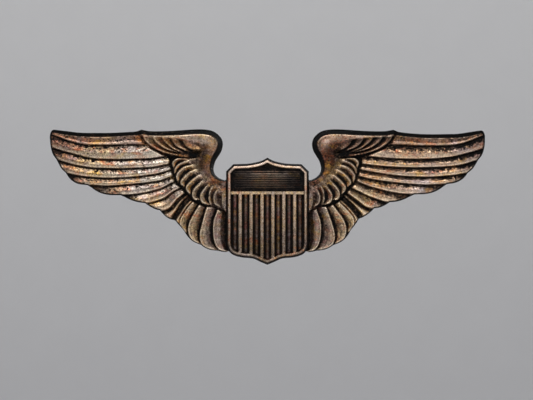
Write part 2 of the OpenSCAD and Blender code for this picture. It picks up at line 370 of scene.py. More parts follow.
class Shader:
    def __init__(self, name):
        self.material = bpy.data.materials.new(name)
        self.material.use_nodes = True
        self.tree = self.material.node_tree
        self.tree.nodes.clear()

    def node(self, kind, settings=None, values=None, out=0):
        node = self.tree.nodes.new("ShaderNode" + kind)
        for key, value in (settings or {}).items():
            setattr(node, key, value)
        for key, value in (values or {}).items():
            slot = node.inputs[key]
            if isinstance(value, Value):
                self.tree.links.new(value.socket, slot)
            else:
                slot.default_value = value
        return Value(self.tree, node.outputs[out])

    def place(self):
        where = self.node("TexCoord", out=3)
        return [self.node("SeparateXYZ", None, {0: where}, out=i) for i in range(3)]

    def attribute(self, name, colour=False):
        return self.node("Attribute", {"attribute_name": name}, out=0 if colour else 2)

    def noise(self, scale, detail=4.0, roughness=0.55, stretch=None):
        where = self.node("TexCoord", out=3)
        if stretch:
            where = self.node("Mapping", None, {"Vector": where, "Scale": stretch})
        return self.node("TexNoise", None, {"Vector": where, "Scale": scale, "Detail": detail,
                                            "Roughness": roughness})

    def mix(self, factor, a, b, blend="MIX"):
        node = self.tree.nodes.new("ShaderNodeMix")
        node.data_type = "RGBA"
        node.blend_type = blend
        for slot, item in ((node.inputs[0], factor), (node.inputs[6], a), (node.inputs[7], b)):
            if isinstance(item, Value):
                self.tree.links.new(item.socket, slot)
            elif slot.type == "RGBA":
                slot.default_value = (*item, 1.0)
            else:
                slot.default_value = item
        return Value(self.tree, node.outputs[2])

    def bump(self, strength, distance, height):
        return self.node("Bump", None, {"Strength": strength, "Distance": distance, "Height": height})

    def finish(self, **sockets):
        values = {key.replace("_", " "): value for key, value in sockets.items()}
        surface = self.node("BsdfPrincipled", None, values)
        out = self.tree.nodes.new("ShaderNodeOutputMaterial")
        self.tree.links.new(surface.socket, out.inputs[0])
        return self.material


# the wings

wing = dict(
    cell=0.11,          # size of the mesh cells on the face
    reach=39.69,        # the tips go no further from the middle
    edge=0.95,          # thickness at the outline
    wallOut=0.34,       # width of the wall round the feather tips
    body=1.95,          # general height of the far feathers
    rise=0.55,          # added towards the shoulder
    depth=0.6,          # from that height down to the grooves
    seat=1.25,          # flat part that the shield covers
    shiftSpread=1.7,    # how far round its place a shift is felt
    shiftHold=0.15,     # how soon it fades beyond that
    leading=[(7.7, 3.0), (8.5, 3.3), (9.4, 4.0), (9.75, 4.8), (9.75, 5.6), (9.45, 6.6), (8.9, 7.5),
             (8.4, 8.4), (8.15, 9.4), (8.25, 10.3), (8.75, 11.1), (9.6, 11.8), (10.6, 12.15),
             (12, 12.3), (14, 12.25), (18, 12.0), (21, 11.95), (22.4, 12.1), (23.0, 12.2),
             (23.6, 11.95), (24.5, 11.75), (27, 11.5), (30, 11.4), (34, 11.5), (36.5, 11.8),
             (38.3, 12.05), (39.1, 12.1), (39.5, 11.7), (39.68, 11.0), (39.6, 10.0), (39.35, 8.8),
             (38.9, 7.7), (38.2, 6.8)],
    tips=[[(38.2, 6.8), (37.75, 6.0), (37.2, 5.15), (36.4, 4.45)],
          [(36.4, 4.45), (35.9, 3.7), (35.2, 3.05), (34.2, 2.55), (32.7, 2.3)],
          [(32.7, 2.3), (32, 1.8), (31.2, 1.25), (30.2, 0.8), (28.8, 0.5), (26.8, 0.42)],
          [(26.8, 0.42), (26, 0.05), (25, -0.45), (23.7, -0.85), (22.3, -1.0)],
          [(22.3, -1.0), (21.7, -1.4), (21, -1.75), (20.3, -2.0), (19.5, -2.1)],
          [(19.5, -2.1), (19, -2.6), (18.3, -3.2), (17.5, -3.7), (16.7, -4.0)],
          [(16.7, -4.0), (16.2, -4.8), (15.6, -5.6), (15.15, -6.2)],
          [(15.15, -6.2), (14.6, -7.1), (13.9, -7.9), (13.1, -8.4), (12.1, -8.8)],
          [(12.1, -8.8), (11.3, -9.35), (10.3, -9.7), (9.0, -9.85)],
          [(9.0, -9.85), (8.4, -10.0), (7.6, -10.08)]],
)

# thin bright lines on the first feather
edgeRims = [
    [(23.3, 11.2), (25.3, 10.9), (28.3, 10.6), (32.3, 10.6), (36.3, 11.0), (38.7, 11.55)],
    [(22.6, 9.85), (24.8, 9.85), (28.3, 9.55), (32.3, 9.55), (34.3, 9.85), (36.3, 10.3), (39.0, 11.2)],
]

# grooves between the long feathers, from the leading edge down
grooves = [
    [(22.9, 12.3), (28, 11.6), (32, 11.5), (36, 11.9), (39.6, 12.3)],
    [(22.2, 9.4), (28, 9.2), (32.3, 9.25), (34.5, 9.55), (36.5, 10.1), (38.2, 10.75), (39.7, 11.35)],
    [(16.5, 7.4), (18.2, 7.25), (22, 6.9), (26, 6.75), (30, 6.8), (32, 7.0), (34, 7.4), (36, 7.9),
     (38.2, 8.5), (39.6, 9.1)],
    [(16.5, 6.0), (18.2, 5.75), (22, 5.35), (26, 5.2), (30, 5.25), (32, 5.35), (34, 5.65),
     (36, 6.05), (38.4, 6.85)],
    [(16.2, 5.0), (18, 4.6), (20, 4.25), (24, 3.7), (28, 3.5), (30, 3.5), (32, 3.65), (34, 3.9),
     (36.6, 4.5)],
    [(15.6, 3.9), (18, 3.3), (20, 2.9), (24, 2.4), (28, 2.1), (30, 2.1), (32.9, 2.35)],
    [(15.3, 3.1), (18, 1.95), (20, 1.35), (22, 0.85), (24.5, 0.45), (27, 0.42)],
    [(14.7, 1.75), (16, 1.15), (18, 0.15), (20, -0.6), (21.2, -0.95), (22.5, -1.05)],
    [(14.0, 0.9), (15.3, -0.05), (16.3, -0.8), (17.5, -1.7), (18.4, -2.1), (19.7, -2.2)],
]

# narrow slats where the fan turns down: proud edge, far edge
slats = [
    ([(13.9, 0.5), (14.6, -0.05), (15.8, -0.95), (17.0, -1.85), (18.25, -2.5), (19.7, -2.75)],
     [(13.8, 0.05), (14.3, -0.35), (15.2, -1.2), (16.2, -2.3), (17.0, -3.35), (17.35, -4.1)]),
    ([(13.0, -0.3), (13.7, -0.8), (14.95, -1.95), (16.0, -3.15), (16.6, -4.05), (16.9, -4.7)],
     [(12.8, -0.8), (13.4, -1.25), (14.35, -2.15), (15.25, -3.3), (15.65, -4.3), (15.85, -5.4)]),
]

# outer edges of the broad feathers beside the shield, the last line being the shield's side
broad = [
    [(12.9, -0.6), (13.9, -1.6), (14.95, -2.7), (15.65, -3.6), (15.9, -4.6), (15.65, -5.6),
     (15.1, -6.3)],
    [(12.0, -1.4), (13.1, -2.85), (13.85, -3.9), (14.3, -5), (14.45, -6), (14.3, -6.9),
     (13.7, -7.9), (12.2, -8.85)],
    [(10.7, -1.5), (11.2, -2.8), (11.65, -4), (12.05, -5.3), (12.35, -6.5), (12.4, -7.4),
     (12.25, -8.2), (11.8, -8.9), (11.2, -9.35), (10.2, -9.7), (9.0, -9.9)],
    [(8.8, -1.6), (9.25, -2.8), (9.75, -4), (9.95, -5), (10.0, -6), (9.9, -7.5), (9.6, -8.6),
     (9.15, -9.35), (8.4, -9.85), (7.4, -10.15)],
    [(7.3, -1.6), (7.35, -3), (7.35, -5), (7.35, -7), (7.3, -9), (7.2, -10.4)],
]

# how each wing departs from the drawn one: place, then shift outwards and up
shifts = {
    -1: [((26.5, 11.5), (0, 0.25)), ((30, 11.4), (0, 0.38)), ((35, 11.6), (0, 0.22)),
         ((22.4, 12.1), (0, 0)), ((39.2, 12), (0, 0.05)), ((38.5, 11.0), (0, 0.2)), ((30, 9.2), (0, 0)),
         ((36, 7.9), (0, 0)), ((38.5, 7.3), (0.3, 0)), ((37.3, 5.2), (0.45, -0.05)),
         ((35.5, 3.3), (0.35, -0.3)), ((32, 5.35), (0, -0.18)), ((28, 3.5), (0, -0.22)),
         ((30, 0.8), (0, -0.22)), ((25, -0.4), (0, -0.1)), ((24, 2.4), (0, -0.17)),
         ((21, -1.7), (0, -0.2)), ((18.5, -3.1), (0.25, -0.6)), ((20, 4.2), (0, -0.2)),
         ((16.5, 6.4), (0.95, -0.05)), ((16, 4.8), (0.8, -0.05)), ((15.2, 3), (0.68, 0)),
         ((14.1, 1.3), (0.6, 0)),
         ((13, 0.4), (0.65, 0)), ((11.7, -0.3), (0.55, 0)), ((10.3, 0), (0.25, -0.05)),
         ((9, -0.5), (0, -0.1)), ((12.5, 3.5), (0.3, 0)), ((10.3, 6.5), (0, 0)), ((10, 9), (0, 0)),
         ((12, 11), (0, 0)), ((14.5, -4.5), (0.1, 0)), ((12, -8.8), (0, 0)), ((8, -9.9), (0, 0)),
         ((9.5, -5), (0, 0)), ((17, 9), (0, 0)), ((19, 11), (0, 0))],
    1: [((39, 7.7), (0.35, 0)), ((38.1, 6.4), (0.5, 0)), ((36.9, 4.8), (0.15, -0.1)),
        ((38.6, 8.9), (0.1, -0.25)), ((36, 8), (0, -0.2)), ((36, 6.1), (0, -0.25)), ((30, 7), (0, 0)),
        ((39.1, 12), (0, 0)), ((39.5, 10.5), (0, 0)), ((34, 2.5), (0, 0)), ((30, 5), (0, 0)),
        ((30, 11), (0, 0)), ((9.8, -5), (-0.2, 0)), ((9, -8), (-0.2, 0)), ((12, -5), (0, 0)),
        ((8, -2), (0, 0)), ((8, 9), (0, 0)), ((20, 2), (0, 0)), ((14, -7), (0, 0))],
}

# rims of the curled feathers in the middle row
curls = [
    [(14.0, 7.25), (15.2, 7.2), (16.0, 6.95), (16.5, 6.5), (16.6, 6.0), (16.4, 5.5)],
    [(13.3, 6.8), (14.3, 6.55), (15.3, 6.1), (15.9, 5.5), (16.2, 5.0), (16.2, 4.6)],
    [(12.7, 5.9), (14.3, 5.6), (15.1, 5.1), (15.7, 4.4), (15.95, 3.7), (15.75, 2.9)],
    [(12.1, 5.1), (13.3, 4.8), (14.1, 4.25), (14.8, 3.5), (15.2, 2.85), (15.15, 2.3), (14.75, 1.95)],
    [(11.3, 4.1), (12.3, 3.9), (13.1, 3.3), (13.7, 2.7), (14.2, 2), (14.25, 1.45), (14, 0.9),
     (13.7, 0.6)],
    [(11.0, 3.4), (11.8, 2.7), (12.5, 2), (13, 1.3), (13.2, 0.5), (13.05, -0.2), (12.6, -0.6),
     (12.1, -0.55)],
    [(10.3, 2.6), (11.1, 1.6), (11.6, 0.9), (11.8, 0.3), (11.8, -0.4), (11.5, -1.05), (10.9, -1.35),
     (10.3, -1.4)],
    [(9.6, 2.3), (10.2, 1.2), (10.35, 0.5), (10.4, -0.5), (10.2, -1.2)],
    [(8.5, 1.7), (9.2, 1.1), (9.6, 0.2), (9.6, -0.7), (9.3, -1.4), (8.7, -1.7)],
    [(7.9, 1.2), (8.15, 0.5), (8.25, -0.5), (8.15, -1.6), (7.9, -2.2)],
]
curlArea = [(11.5, 7.9), (15.2, 7.75), (16.7, 7.2), (17.0, 6.4), (16.8, 5.5), (16.5, 4.5),
            (16.2, 3.3), (15.85, 2.55), (15.25, 1.9), (14.65, 1.3), (14.25, 0.7), (13.65, 0.1),
            (13.2, -0.55), (12.6, -0.95), (11.6, -1.4), (10.8, -1.65), (9.7, -1.65), (8.9, -2.05),
            (7.9, -2.5), (7.0, -2.7), (7.0, 3.4), (9.6, 4.4)]

# rims of the small feathers over the wrist
wristRims = [
    [(22.9, 11.5), (22.2, 10.1), (20.7, 8.95), (18.4, 8.0), (16, 7.5)],
    [(21.2, 11.2), (20.3, 9.9), (18.9, 8.95), (17.6, 8.45), (16.1, 8.1)],
    [(19.5, 11.2), (18.8, 10.1), (17.7, 9.2), (16.8, 8.65), (15.6, 8.2)],
    [(17.7, 11.1), (17.3, 10.2), (16.7, 9.45), (15.9, 8.9), (14.7, 8.45)],
    [(15.4, 10.2), (15.0, 9.6), (14.6, 9.15), (13.9, 8.7), (12.9, 8.3)],
]
wristArea = [(23.1, 11.95), (23.0, 11.2), (22.3, 9.95), (20.85, 8.75), (18.5, 7.75), (16, 7.2),
             (12.5, 7.3), (11.2, 8.6), (11, 10.5), (13, 11.9)]

# centre line of the smooth arm, with its half width and its height at each point
armLine = [(8.7, 2.9), (9.9, 4.5), (10.5, 6.3), (10.3, 8.0), (10.1, 9.4), (10.9, 10.3),
           (12.6, 10.65), (16, 10.85), (20, 11.05), (22.7, 11.3)]
armWidth = [0.7, 1.1, 1.6, 1.9, 2.0, 1.9, 1.35, 0.5, 0.3, 0.25]
armHeight = [0.25, 0.5, 0.65, 0.8, 0.85, 0.85, 0.72, 0.6, 0.55, 0.45]

# width of the steep dark wall, by share of the way along the leading edge
wallWidth = [(0, 0.28), (0.05, 0.45), (0.12, 0.85), (0.25, 1.0), (0.4, 0.95), (0.52, 0.9), (0.56, 0.78),
             (0.84, 0.74), (0.9, 0.45), (1, 0.32)]

# the pads on the back: place of each from the middle of the pin, and radius
pads = dict(place=(18.3, 2.0), radius=2.7)

# how height and toning run across a feather, from its proud edge at 0 to its tucked edge at 1
profiles = dict(
    longHeight=[(0, -0.04), (0.1, 0.05), (0.3, 0.1), (0.5, 0.04), (0.75, -0.16), (1, -0.34)],
    longToning=[(0, 0.15), (0.12, 0.1), (0.42, 0.22), (0.6, 0.56), (0.8, 0.86), (1, 1.05)],
    slatHeight=[(0, -0.05), (0.35, 0.1), (0.7, -0.02), (1, -0.2)],
    broadHeight=[(0, 0.0), (0.1, 0.14), (0.2, 0.06), (0.32, 0.1), (0.55, 0.0), (0.8, -0.28), (1, -0.4)],
    curlHeight=[(0, 0.7), (0.12, 1), (0.3, 0.85), (0.55, 0.35), (0.72, 0.04), (1, 0)],
    curlToning=[(0, 0.15), (0.12, -0.1), (0.35, 0.05), (0.52, 0.4), (0.64, 1.0), (0.75, 1.2), (1, 1.25)],
    wristHeight=[(0, 0.7), (0.12, 1), (0.3, 0.8), (0.55, 0.4), (0.72, 0.05), (1, 0)],
    wristToning=[(0, 0.3), (0.1, 0.05), (0.3, 0.2), (0.5, 0.4), (0.64, 0.9), (0.74, 1.2), (1, 1.25)],
)


def featherStrip(points, proud, tuck):
    # the strip between two lines: the points in it, how far across it they are, and from each line
    a, b = spline(proud), spline(tuck)
    some = closeTo(points, np.vstack([a, b]), 0.3)
    within = np.zeros(len(points), bool)
    t, dProud, dTuck = np.zeros((3, len(points)))
    dA, _, sideA = near(points[some], a)
    dB, _, sideB = near(points[some], b)
    middle = (a[len(a) // 2] + b[len(b) // 2])[None] / 2
    sideA *= near(middle, a)[2]
    sideB *= near(middle, b)[2]
    within[some] = (sideA > 0) & (sideB > 0)
    t[some] = dA / (dA + dB + 1e-6)
    dProud[some], dTuck[some] = dA, dB
    return within, t, dProud, dTuck


def ridge(points, rim, outer, inner):
    # a thin rounded rim, steep on the outer side and softer inside
    line = spline(rim)
    height = np.zeros(len(points))
    some = closeTo(points, line, 1.2)
    d, along, side = near(points[some], line)
    height[some] = bell(d, 0, np.where(side > 0, outer, inner)) * ease(along / 0.03)
    return height


def petals(points, rims, fade):
    # overlapping curled feathers: how far from a feather's own rim to the next, and how near its root
    far = 3.0
    inner, outer = np.full(len(points), far), np.full(len(points), far)
    root = np.ones(len(points))
    for rim in rims:
        line = spline(rim)
        some = closeTo(points, line, far)
        d, along, side = near(points[some], line)
        own = (side < 0) & (d < inner[some])
        root[some] = np.where(own, ease(along / fade), root[some])
        inner[some] = np.where(own, d, inner[some])
        outer[some] = np.where((side >= 0) & (d < outer[some]), d, outer[some])
    return inner / (inner + outer + 1e-6), inner, root


def moved(points, hand):
    # shifts the points of one wing, fading to nothing at the shield
    places = np.array([p for p, _ in shifts[hand]], float)
    steps = np.array([s for _, s in shifts[hand]], float)
    gap = ((points[:, None] - places[None]) ** 2).sum(2)
    weight = np.exp(-gap / (2 * wing["shiftSpread"]**2))
    shift = (weight @ steps) / (weight.sum(1) + wing["shiftHold"])[:, None]
    return points + shift * ease((points[:, :1] - 7.6) / 1.5)


leadingLine = spline(wing["leading"], 4)
trailingLine = np.vstack([spline(t, 4) for t in wing["tips"]])
underShield = [(7.6, -10.08), (6.0, -9.6), (0, -10.0), (-9, -10.0), (-9, 4.6), (0, 4.6),
               (6.4, 4.3), (7.0, 3.4)]
outline = np.vstack([spline(line, 4)[:-1] for line in [wing["leading"], *wing["tips"]]] + [underShield])
zones = dict(flight=1, slat=11, broad=14, curl=20, wrist=21, arm=22)


def among(zone, first, after):
    return (zone >= zones[first]) & (zone < zones[after])


def put(form, on, **values):
    for name, value in values.items():
        setattr(form, name, np.where(on, value, getattr(form, name)))


def lay(form, on, top, drop, toning, polish, zone, t):
    # one feather: height above the body, drop at its edges, toning, polish
    atEdges = 1.15 * (1 - ease(drop * 1.25 - 0.15))
    put(form, on, h=form.floor + (form.body + top - form.floor) * drop,
        oxide=np.maximum(toning, atEdges), polish=polish, zone=zone, across=t)


def layLong(form):
    # the first feather, with two thin rims
    on, t, dProud, _ = featherStrip(form.points, grooves[1], grooves[0])
    rim = ridge(form.points, edgeRims[0], 0.12, 0.14)
    second = ridge(form.points, edgeRims[1], 0.16, 0.3)
    lay(form, on, -0.22 + 0.26 * rim + 0.16 * second, wall(dProud, 0.2),
        0.6 - 0.55 * rim - 0.45 * second, 0.55 * rim + 0.3 * second, zones["flight"], t)
    # the others, each rising to its lower edge
    for i, (upper, lower) in enumerate(zip(grooves[1:], grooves[2:])):
        on, t, dProud, dTuck = featherStrip(form.points, lower, upper)
        lay(form, on, curve(t, profiles["longHeight"]), wall(dProud, 0.24) * wall(dTuck, 0.16),
            curve(t, profiles["longToning"]), 0.6 * bell(t, 0.2, 0.14), zones["flight"] + 1 + i, t)


def layFan(form):
    for i, (upper, lower) in enumerate(slats):
        on, t, dProud, dTuck = featherStrip(form.points, upper, lower)
        lay(form, on, curve(t, profiles["slatHeight"]), wall(dProud, 0.22) * wall(dTuck, 0.26),
            0.15 + 0.4 * ease((t - 0.4) / 0.5), 0.8 * bell(t, 0.3, 0.25), zones["slat"] + i, t)
    # the broad feathers rise to their outer edges and have a thin rim there
    for i, (proud, tuck) in enumerate(zip(broad, broad[1:])):
        on, t, dProud, dTuck = featherStrip(form.points, proud, tuck)
        rim = bell(dProud, 0.22, 0.1)
        lay(form, on, curve(t, profiles["broadHeight"]), wall(dProud, 0.2) * wall(dTuck, 0.16),
            0.34 + 0.8 * ease((t - 0.66) / 0.26) - 0.75 * rim, 1.5 * rim + 0.2 * bell(t, 0.33, 0.15),
            zones["broad"] + i, t)


def sink(form, d, width, depth, toning, where=True):
    # a dark slot just outside an overlapping row
    slot = bell(np.minimum(d, 0), 0, width) * (d < 0) * where
    form.h = form.h - depth * slot
    form.oxide = np.maximum(form.oxide, toning * slot)


def layCurls(form):
    # the middle row lies over the long and the broad feathers
    d = areaDistance(form.points, curlArea)
    sink(form, d, 0.22, 0.4, 1.1)
    shallow = ease((10.6 - form.x) / 2.2)               # finer towards the shield
    t, inner, root = petals(form.points, curls, 0.3)
    nearArm = near(form.points, spline(armLine))[0]
    hollow = form.body - 0.2 + 0.5 * bell(nearArm, 0, 2.2)
    rim = curve(t, profiles["curlHeight"]) * wall(inner + 0.03, 0.14)
    top = hollow + (0.55 - 0.25 * shallow) * (rim * root + 0.4 * (1 - root))
    drop = wall(d + 0.12, 0.3)
    toning = curve(t, profiles["curlToning"]) * root + 0.4 * (1 - root)
    toning = np.where(toning > 0.45, 0.45 + (toning - 0.45) * (1 - 0.55 * shallow), toning)
    put(form, d > -0.12, h=form.floor + (top - form.floor) * drop,
        oxide=np.maximum(toning, 1.1 * (1 - ease(drop * 1.3 - 0.2))),
        polish=(1.1 - 0.5 * shallow) * (bell(inner, 0.13, 0.14) * root), zone=zones["curl"], across=t)


def layWrist(form):
    # small feathers over the wrist, running into the middle row by the arm
    x, z = form.x, form.z
    d = areaDistance(form.points, wristArea)
    sink(form, d, 0.2, 0.35, 1.05, z < 11.5)
    t, inner, root = petals(form.points, wristRims, 0.12)
    root *= ease((x - 12.4) / 1.5)
    rim = curve(t, profiles["wristHeight"]) * wall(inner + 0.03, 0.14)
    drop = wall(d + 0.1, 0.28)
    top = form.floor + (form.body + 0.05 + 0.5 * (rim * root + 0.5 * (1 - root)) - form.floor) * drop
    toning = curve(t, profiles["wristToning"])
    nearShoulder = ease((19.5 - x) / 5)                 # the slots are deepest there
    toning = np.where(t > 0.5, toning * (0.72 + 0.28 * nearShoulder), toning) * root + 0.4 * (1 - root)
    toning = np.maximum(toning, 1.05 * (1 - ease(drop * 1.3 - 0.2)))
    shine = 0.5 * (bell(inner, 0.12, 0.13) * root) ** 2
    join = ease((14.4 - x) / 2.2) * ease((8.8 - z) / 0.9)
    on = d > -0.1
    put(form, on, h=top * (1 - join) + form.h * join, oxide=toning * (1 - join) + form.oxide * join,
        polish=shine * (1 - join) + form.polish * join, across=t)
    put(form, on & (join < 0.5), zone=zones["wrist"])


def layArm(form):
    # smooth arm, steep outside and running softly into the feathers inside
    d, along, side = near(form.points, spline(armLine))
    lengths = np.cumsum([0] + [math.dist(a, b) for a, b in zip(armLine, armLine[1:])])
    keys = lengths / lengths[-1]
    width = np.interp(along, keys, armWidth)
    raised = np.interp(along, keys, armHeight)
    u = np.clip(d / (width * np.where(side > 0, 1.25, 1.45)), 0, 1)
    dome = form.body + 0.05 + raised * (1 - u**2) ** 0.8
    blend = ease((1 - u) / 0.5)
    # a painted highlight along the crest of the upper arm and shoulder, where the lamp above falls; it
    # goes into the polish
    paintedCrestHighlight = 0.4 * ease((form.z - 7.5) / 3) * bell(d, 0.1, 0.3 * width + 0.08)
    form.h = form.h * (1 - blend) + np.maximum(dome, form.h) * blend
    form.oxide = form.oxide * (1 - blend) + (0.3 + 0.25 * u) * blend
    form.polish = form.polish * (1 - blend) + blend * paintedCrestHighlight
    put(form, blend > 0.5, zone=zones["arm"], across=u)


def cutEdges(form):
    # steep walls down to the outline, wide along the leading edge
    edge = wing["edge"]
    lead, share, _ = near(form.points, leadingLine)
    width = curve(share, wallWidth)
    ramp = np.clip(lead / width, 0, 1)
    form.h = np.minimum(form.h, edge + (form.h - edge) * (0.75 * ramp + 0.25 * wall(ramp, 1)))
    # the steep wall is painted near black: oxide, and a painted shade for the dark that a steep wall
    # mirrors
    dark = 1 - ease((lead / width - 0.8) / 0.3)
    # a bright line just inside the wall on the wrist and arm, upper part only: worn edge, and a painted
    # highlight where the lamp above falls
    rim = bell(lead, width * 1.13, 0.13) * (form.zone > zones["curl"]) * ease((form.z - 7) / 4)
    form.oxide = np.maximum(form.oxide, 1.25 * dark) * (1 - 0.7 * rim)
    form.polish = np.maximum(form.polish * (1 - dark), 0.85 * rim)
    trail = near(form.points, trailingLine)[0]
    form.h = edge + (form.h - edge) * wall(trail, wing["wallOut"])
    # a dark line along the trailing edge: oxide on the wall, and a painted shade of the edge
    form.oxide = np.maximum(form.oxide, 1.5 * (1 - ease((trail - 0.2) / 0.14)))
    bright = 0.5 * bell(trail, 0.42, 0.1) * (form.zone < zones["curl"]) * (form.oxide < 0.8)
    form.polish = np.maximum(form.polish, bright)
    # the part that the shield covers stays flat
    under = ease((7.45 - np.abs(form.x)) / 0.2) * ease((6.5 - form.z) / 0.4)
    form.h = form.h * (1 - under) + wing["seat"] * under


def wingForm(points):
    # height, oxide left in the hollows, polish on the rims, zone and place across, for each point
    x, z = points.T
    body = wing["body"] + wing["rise"] * np.clip((30 - x) / 18, 0, 1)
    floor = body - wing["depth"]
    zone, across, polish = np.zeros((3, len(points)))
    form = SimpleNamespace(points=points, x=x, z=z, body=body, floor=floor, h=floor.copy(),
                           oxide=np.ones(len(points)), polish=polish, zone=zone, across=across)
    for step in (layLong, layFan, layCurls, layWrist, layArm, cutEdges):
        step(form)
    return form


# colours of the bare metal under its toning, for the left (-1) and the right wing: near and far ones
tints = {
    -1: dict(first=(182, 122, 96), flight=((240, 230, 214), (150, 108, 84)), farFrom=29, farOver=8,
             arm=((176, 126, 88), (142, 102, 72)), wrist=((236, 188, 138), (200, 154, 110)),
             curl=((250, 226, 188), (206, 176, 142))),
    1: dict(first=(176, 128, 102), flight=((252, 216, 178), (184, 156, 146)), farFrom=31.5, farOver=6,
            arm=((176, 98, 66), (134, 78, 54)), wrist=((190, 142, 108), (124, 84, 62)),
            curl=((248, 218, 178), (200, 170, 134))),
}

# bright spots painted on the wings: painted highlights where the lamps catch the shoulders, necks and
# feathers, and patches of worn metal: x, z, size, share, colour
highlightsAndWear = {
    -1: [(11.5, 10.3, 0.55, 0.95, (255, 224, 196)), (13.0, 11.0, 0.5, 0.6, (244, 200, 160)),
         (14.8, 11.2, 0.7, 0.5, (232, 188, 138)), (18.5, 11.1, 1.2, 0.6, (236, 196, 140)),
         (21.5, 10.6, 1.0, 0.6, (238, 208, 160)), (10.2, 8.6, 0.6, 0.4, (214, 156, 96)),
         (11.3, 4.3, 0.45, 0.7, (232, 196, 160)), (10.0, 3.4, 0.4, 0.6, (226, 176, 134)),
         (26.5, 8.2, 2.0, 0.5, (255, 246, 234)), (30.0, 8.3, 1.5, 0.5, (236, 206, 140)),
         (33.5, 6.2, 1.3, 0.4, (230, 190, 120)), (24.0, 3.2, 1.6, 0.4, (250, 246, 250)),
         (21.0, -0.4, 1.3, 0.75, (206, 158, 96)), (18.2, -1.8, 1.2, 0.75, (204, 152, 88)),
         (27.5, 0.9, 1.4, 0.6, (228, 176, 122))],
    1: [(10.7, 10.1, 0.42, 1.0, (255, 222, 214)), (11.9, 11.0, 0.42, 0.95, (255, 206, 180)),
        (14.0, 11.45, 0.5, 0.7, (238, 176, 150)), (17.0, 11.35, 0.8, 0.4, (220, 170, 140)),
        (11.2, 5.2, 0.45, 0.6, (226, 194, 112)), (10.4, 4.0, 0.4, 0.7, (230, 200, 120)),
        (9.6, 3.2, 0.35, 0.7, (226, 190, 120)), (29.0, 4.6, 2.0, 0.5, (255, 228, 220)),
        (26.0, 2.6, 1.6, 0.5, (248, 218, 216)), (30.6, 7.9, 1.6, 0.4, (255, 232, 200)),
        (28.8, 1.4, 1.5, 0.9, (255, 240, 246)), (27.0, 8.0, 1.5, 0.7, (255, 196, 138)),
        (17.5, -0.6, 1.6, 0.7, (236, 212, 150)), (35.5, 8.8, 1.2, 0.5, (226, 204, 214))],
}


def highlightOrWear(form, px, pz, size, share):
    return share * np.exp(-((form.x - px) ** 2 + (form.z - pz) ** 2) / (2 * size**2))


def litAndRubbed(form, hand):
    # how much toning is taken off under the bright spots nearer than 23 mm: painted highlights on the
    # shoulders and necks, and some worn patches
    return np.max([highlightOrWear(form, *place) for *place, _ in highlightsAndWear[hand] if place[0] < 23], axis=0)


def wingTint(form, hand):
    # colour of the bare metal of one wing, feather by feather, then the bright spots: painted highlights
    # and worn patches
    x, zone = form.x, form.zone
    own = tints[hand]
    colour = np.tile(tone(214, 190, 150), (len(x), 1))

    def blend(mask, pair, t):
        colour[mask] = mixed(pair, np.clip(t, 0, 1))[mask]

    flight = among(zone, "flight", "slat")
    blend(flight, own["flight"], ease((x - own["farFrom"]) / own["farOver"]))
    if hand < 0:
        gold = 0.8 * (bell(x, 31, 4.0) * (flight & (x > 22) & (x < 36)))[:, None]
        colour = colour * (1 - gold) + np.array(tone(204, 180, 136)) * gold
    for name, spread in (("arm", 1), ("wrist", 1), ("curl", 2)):
        blend(zone == zones[name], own[name], form.across * spread)
    blend(among(zone, "slat", "broad"), ((252, 208, 146), (224, 180, 124)), form.across)
    colour[zone == zones["flight"]] = tone(*own["first"])
    blend(among(zone, "broad", "curl"), ((244, 212, 162), (214, 190, 178)), ease((13.5 - x) / 4))
    grey = 0.7 * (ease((11.5 - x) / 2.5) * (zone == zones["curl"]))[:, None]
    colour = colour * (1 - grey) + np.array(tone(150, 134, 136)) * grey
    # the bright spots painted over the colour: painted highlights, partly worn metal
    for *place, shine in highlightsAndWear[hand]:
        mask = (highlightOrWear(form, *place) * (zone > 0))[:, None]
        colour = colour * (1 - mask) + np.array(tone(*shine)) * mask
    return colour


def wingToning(form):
    # the oxide of the right and of the left wing, which has lost more of it
    x, z, zone, across = form.x, form.z, form.zone, form.across
    flight = among(zone, "flight", "slat")
    wrist = zone == zones["wrist"]
    exposed = flight * (1 - ease((across - 0.4) / 0.25))
    right = form.oxide + 0.26 * wrist + 0.16 * (zone == zones["arm"]) - 0.2 * exposed
    right += 0.25 * bell(z, 10.6, 0.5) * wrist
    # less toning under the painted highlights and worn patches near the shoulder
    right = np.where(right < 0.9, right - 0.65 * litAndRubbed(form, 1), right)
    lowest = bell(x, 28.5, 3.2) * bell(z, 1.4, 1.2)     # the bright end of the lowest long feathers
    right -= 0.45 * lowest * (flight & (across < 0.85))
    left = np.where(flight, form.oxide * (1 - 0.5 * ease((1.06 - form.oxide) / 0.25)), form.oxide)
    left -= 0.15 * (wrist & (across < 0.62)) + 0.1 * (among(zone, "slat", "curl") & (across < 0.6))
    left -= 0.1 * exposed
    # likewise on the left wing: painted highlights and worn patches
    left = np.where(left < 0.9, left - 0.5 * litAndRubbed(form, -1), left)
    tip = 0.22 * flight * ease((x - 33) / 5) - 0.12 * (zone == 2) * ease((x - 35.5) / 2.5)
    return right + tip * 1.3, left + tip


